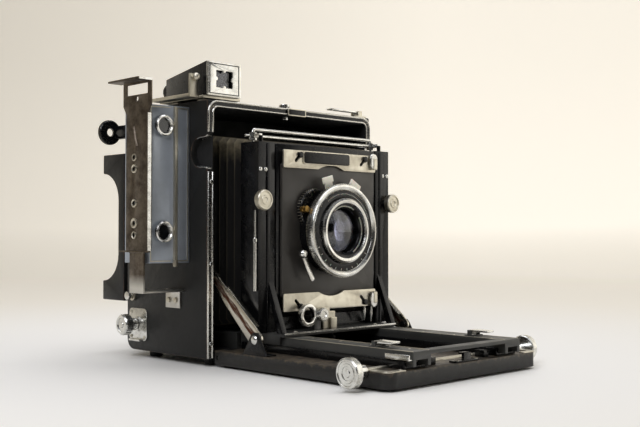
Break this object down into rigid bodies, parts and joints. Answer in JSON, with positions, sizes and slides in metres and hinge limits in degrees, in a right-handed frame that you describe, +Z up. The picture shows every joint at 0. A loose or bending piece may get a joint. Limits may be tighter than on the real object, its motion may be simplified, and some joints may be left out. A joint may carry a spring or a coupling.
{
  "type": "folding press view camera",
  "caption": "Folding large format press camera, drop bed open: box body, bellows, lens standard on focusing rails, range finder, flash bracket and focusing back.",
  "frame": {"origin": "mouth of the tripod socket, middle of the body's underside", "axes": "+Z up, the lens looks along -Y, +X to the right as seen from in front"},
  "size_m": [0.249, 0.322, 0.2311],
  "materials": {
    "black_leather": "grained black leather over wood",
    "strap_leather": "smooth black leather",
    "nickel": "polished nickel plate, aged",
    "satin_nickel": "satin nickel plate",
    "ivory_tab": "ivory coloured celluloid",
    "bronze_strip": "tarnished nickel over brass",
    "grey_alloy": "satin lacquered light alloy",
    "black_enamel": "baked black enamel",
    "blackened_steel": "blued steel",
    "panel_lacquer": "dark warm grey lacquer",
    "brass": "turned brass",
    "rubber_foot": "black rubber",
    "shutter_cloth": "rubberised black cloth",
    "bellows_leather": "thin black leather over card",
    "glass": "polished glass",
    "ground_glass": "ground glass"
  },
  "bodies": {
    "root": {"body_shell": "black_leather", "front_trim": "nickel", "body_feet": "rubber_foot", "tripod_bush": "brass", "inner_track": "black_enamel", "shutter_plate": "black_enamel", "shutter_curtain": "shutter_cloth", "winding_plate": "nickel", "body_fittings": "nickel", "back_frame": "black_enamel", "range_finder_housing": "grey_alloy", "range_finder_bezels": "nickel", "range_finder_eyepiece": "black_enamel", "small_glasses": "glass", "flash_bracket": "bronze_strip", "finder_base": "satin_nickel", "finder_housing": "black_enamel", "finder_mask": "nickel", "hand_strap": "strap_leather", "bed_hinge": "black_enamel", "bellows": "bellows_leather"},
    "winder": {"winding_roller": "blackened_steel", "winding_key": "nickel"},
    "tension": {"tension_roller": "blackened_steel"},
    "trigger": {"shutter_trigger": "nickel"},
    "back": {"focusing_back": "black_enamel", "ground_glass": "ground_glass", "back_springs": "blackened_steel"},
    "cover": {"hood_cover": "blackened_steel"},
    "bed_button": {"bed_button": "nickel"},
    "peep": {"peep_sight": "nickel"},
    "bed": {"bed_door": "black_leather", "bed_fittings": "black_enamel", "bed_track": "black_enamel"},
    "strut_right": {"strut_right": "satin_nickel"},
    "strut_left": {"strut_left": "satin_nickel"},
    "rails": {"focus_track": "satin_nickel", "focus_racks": "blackened_steel"},
    "pinion": {"focus_shaft": "blackened_steel", "focus_knobs": "nickel"},
    "stop_right": {"infinity_stop_right": "nickel"},
    "stop_left": {"infinity_stop_left": "nickel"},
    "standard": {"standard_base": "black_enamel", "standard_frame": "black_enamel", "finder_crossbar": "nickel"},
    "lock": {"standard_lock": "nickel"},
    "knob_right": {"rise_knob_right": "nickel"},
    "knob_left": {"rise_knob_left": "nickel"},
    "wire": {"wire_finder": "nickel"},
    "panel": {"lens_panel": "panel_lacquer", "lens_board": "panel_lacquer", "shutter_case": "black_enamel", "lens_barrel": "black_enamel", "lens_glass": "glass"},
    "clip_upper": {"clip_upper": "satin_nickel"},
    "clip_lower": {"clip_lower": "satin_nickel"},
    "speed_ring": {"shutter_ring": "nickel"},
    "cocking": {"cocking_lever": "nickel"},
    "release": {"release_lever": "ivory_tab"},
    "pointer": {"aperture_pointer": "ivory_tab"}
  },
  "joints": [
    {"name": "bed_drop", "type": "hinge", "parent": "root", "child": "bed", "pos_m": [0, -0.0583, 0.0016], "axis": [1, 0, 0], "range_deg": [0, 15]},
    {"name": "strut_turn_right", "type": "hinge", "parent": "bed", "child": "strut_right", "pos_m": [0.08, -0.1, 0.0182], "axis": [1, 0, 0], "range_deg": [-10.5, 0.3]},
    {"name": "strut_turn_left", "type": "hinge", "parent": "bed", "child": "strut_left", "pos_m": [-0.08, -0.1, 0.0182], "axis": [1, 0, 0], "range_deg": [-10.5, 0.3]},
    {"name": "rail_focus", "type": "slide", "parent": "bed", "child": "rails", "axis": [0, -1, 0], "range_m": [0, 0.045]},
    {"name": "pinion_turn", "type": "hinge", "parent": "bed", "child": "pinion", "pos_m": [0, -0.208, 0.0066], "axis": [1, 0, 0], "range_deg": [-5, 580]},
    {"name": "stop_fold_right", "type": "hinge", "parent": "rails", "child": "stop_right", "pos_m": [0.053, -0.193, 0.02135], "axis": [-1, 0, 0], "range_deg": [0, 90]},
    {"name": "stop_fold_left", "type": "hinge", "parent": "rails", "child": "stop_left", "pos_m": [-0.053, -0.193, 0.02135], "axis": [-1, 0, 0], "range_deg": [0, 90]},
    {"name": "standard_slide", "type": "slide", "parent": "rails", "child": "standard", "axis": [0, -1, 0], "range_m": [0, 0.078]},
    {"name": "standard_lock_turn", "type": "hinge", "parent": "standard", "child": "lock", "pos_m": [-0.019, -0.101, 0.033], "axis": [0, 1, 0], "range_deg": [0, 35]},
    {"name": "rise_knob_turn_right", "type": "hinge", "parent": "standard", "child": "knob_right", "pos_m": [0.071, -0.096, 0.1195], "axis": [0, 1, 0], "continuous": true},
    {"name": "rise_knob_turn_left", "type": "hinge", "parent": "standard", "child": "knob_left", "pos_m": [-0.071, -0.096, 0.1195], "axis": [0, 1, 0], "continuous": true},
    {"name": "wire_lift", "type": "slide", "parent": "standard", "child": "wire", "axis": [0, 0, 1], "range_m": [0, 0.085]},
    {"name": "lens_rise", "type": "slide", "parent": "standard", "child": "panel", "axis": [0, 0, 1], "range_m": [0, 0.02]},
    {"name": "clip_upper_slide", "type": "slide", "parent": "panel", "child": "clip_upper", "axis": [0.7071, 0, 0.7071], "range_m": [0, 0.005]},
    {"name": "clip_lower_slide", "type": "slide", "parent": "panel", "child": "clip_lower", "axis": [0.7071, 0, -0.7071], "range_m": [0, 0.005]},
    {"name": "speed_ring_turn", "type": "hinge", "parent": "panel", "child": "speed_ring", "pos_m": [0, -0.107, 0.097], "axis": [0, 1, 0], "range_deg": [-60, 60]},
    {"name": "cocking_turn", "type": "hinge", "parent": "panel", "child": "cocking", "pos_m": [0, -0.101, 0.097], "axis": [0, 1, 0], "range_deg": [0, 30], "stiffness_Nm_per_rad": 0.02, "springref_deg": -2.86},
    {"name": "release_turn", "type": "hinge", "parent": "panel", "child": "release", "pos_m": [0, -0.101, 0.097], "axis": [0, 1, 0], "range_deg": [0, 8], "stiffness_Nm_per_rad": 0.05, "springref_deg": -5.73},
    {"name": "aperture_turn", "type": "hinge", "parent": "panel", "child": "pointer", "pos_m": [0, -0.101, 0.097], "axis": [0, 1, 0], "range_deg": [-25, 20]},
    {"name": "winder_turn", "type": "hinge", "parent": "root", "child": "winder", "pos_m": [0, 0.036, 0.0215], "axis": [1, 0, 0], "continuous": true},
    {"name": "tension_turn", "type": "hinge", "parent": "root", "child": "tension", "pos_m": [0, 0.036, 0.176], "axis": [1, 0, 0], "continuous": true},
    {"name": "trigger_press", "type": "slide", "parent": "root", "child": "trigger", "axis": [1, 0, 0], "range_m": [0, 0.0012], "stiffness_N_per_m": 400, "springref_m": -0.001},
    {"name": "back_pull", "type": "slide", "parent": "root", "child": "back", "axis": [0, 1, 0], "range_m": [0, 0.008], "stiffness_N_per_m": 900, "springref_m": -0.006},
    {"name": "hood_open", "type": "hinge", "parent": "back", "child": "cover", "pos_m": [0, 0.0684, 0.145], "axis": [1, 0, 0], "range_deg": [0, 90]},
    {"name": "bed_release", "type": "slide", "parent": "root", "child": "bed_button", "axis": [0, 0, -1], "range_m": [0, 0.0015], "stiffness_N_per_m": 500, "springref_m": -0.002},
    {"name": "sight_fold", "type": "hinge", "parent": "root", "child": "peep", "pos_m": [0.08, -0.047, 0.1992], "axis": [0, 1, 0], "range_deg": [0, 90]}
  ],
  "couplings": [
    {"joint": "strut_turn_right", "follows": "bed_drop", "ratio": -0.66022},
    {"joint": "strut_turn_left", "follows": "bed_drop", "ratio": -0.66022},
    {"joint": "pinion_turn", "follows": "rail_focus", "rad_per_m": 222.22},
    {"joint": "tension_turn", "follows": "winder_turn", "ratio": 1}
  ]
}
